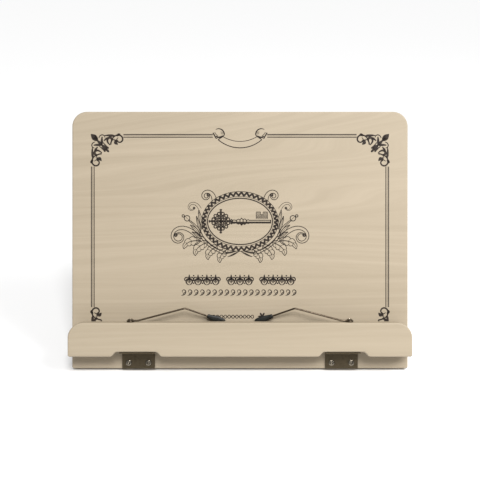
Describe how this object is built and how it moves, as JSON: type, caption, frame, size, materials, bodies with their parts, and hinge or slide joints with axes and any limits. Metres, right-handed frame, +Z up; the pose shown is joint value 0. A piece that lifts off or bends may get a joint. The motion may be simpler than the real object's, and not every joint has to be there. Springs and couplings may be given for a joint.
{
  "type": "folding album stand",
  "caption": "Folding wooden album stand: a leaning back board on a wire leg, with a fold-up page ledge and two wire page clips.",
  "frame": {"origin": "on the ground, under the middle of the stand's overall box", "axes": "+X to the right along the board's width, +Y towards the back, +Z up. The board leans back about 23 degrees."},
  "size_m": [0.34, 0.1532, 0.2414],
  "materials": {
    "board_wood": "pale straight-grained veneer on both boards, satin clear lacquer, with dark printed line ornament on the back board",
    "hinge_metal": "antiqued grey bronze plating, lightly brushed",
    "screw_steel": "zinc plated, satin",
    "clip_steel": "dark bronzed spring wire, smooth",
    "boot_rubber": "matt black moulded rubber",
    "foot_rubber": "matt black rubber tube",
    "leg_steel": "bright zinc plated wire",
    "bracket_steel": "nickel plated sheet, satin",
    "rail_plastic": "black moulded plastic, fine grain"
  },
  "bodies": {
    "board": {"back_board": "board_wood", "hinge_left_board_leaf": "hinge_metal", "hinge_left_pin": "hinge_metal", "hinge_left_board_screw_1": "screw_steel", "hinge_left_board_screw_2": "screw_steel", "hinge_right_board_leaf": "hinge_metal", "hinge_right_pin": "hinge_metal", "hinge_right_board_screw_1": "screw_steel", "hinge_right_board_screw_2": "screw_steel", "notched_rail": "rail_plastic", "rail_screw_1": "screw_steel", "rail_screw_2": "screw_steel", "rail_screw_3": "screw_steel", "rail_screw_4": "screw_steel", "stay_bracket": "bracket_steel", "bracket_screw_1": "screw_steel", "bracket_screw_2": "screw_steel", "stay_pin": "screw_steel"},
    "ledge": {"ledge": "board_wood", "hinge_left_ledge_leaf": "hinge_metal", "hinge_left_ledge_screw_1": "screw_steel", "hinge_left_ledge_screw_2": "screw_steel", "clip_left_screw": "screw_steel", "hinge_right_ledge_leaf": "hinge_metal", "hinge_right_ledge_screw_1": "screw_steel", "hinge_right_ledge_screw_2": "screw_steel", "clip_right_screw": "screw_steel"},
    "clip_left": {"clip_left_wire": "clip_steel", "clip_left_boot": "boot_rubber"},
    "clip_right": {"clip_right_wire": "clip_steel", "clip_right_boot": "boot_rubber"},
    "stay": {"stay": "bracket_steel"},
    "leg": {"leg_wire": "leg_steel", "leg_crossbar": "leg_steel", "foot_left": "foot_rubber", "foot_right": "foot_rubber"}
  },
  "joints": [
    {"name": "ledge_fold", "type": "hinge", "parent": "board", "child": "ledge", "pos_m": [0, -0.06053, 0.01985], "axis": [1, 0, 0], "range_deg": [0, 90]},
    {"name": "clip_left_rise", "type": "hinge", "parent": "ledge", "child": "clip_left", "pos_m": [-0.109, -0.05636, 0.05335], "axis": [0, 0.3978, 0.9175], "range_deg": [0, 30]},
    {"name": "clip_right_rise", "type": "hinge", "parent": "ledge", "child": "clip_right", "pos_m": [0.109, -0.05636, 0.05335], "axis": [0, -0.3978, -0.9175], "range_deg": [0, 30]},
    {"name": "stay_fold", "type": "hinge", "parent": "board", "child": "stay", "pos_m": [0, -0.01758, 0.06989], "axis": [1, 0, 0], "range_deg": [-15, 35]},
    {"name": "leg_fold", "type": "hinge", "parent": "stay", "child": "leg", "pos_m": [0, 0.05059, 0.11176], "axis": [1, 0, 0], "range_deg": [-70, 30]}
  ],
  "couplings": [
    {"joint": "clip_left_rise", "follows": "ledge_fold", "ratio": 0.3333},
    {"joint": "clip_right_rise", "follows": "ledge_fold", "ratio": 0.3333},
    {"joint": "leg_fold", "follows": "stay_fold", "ratio": -2}
  ]
}
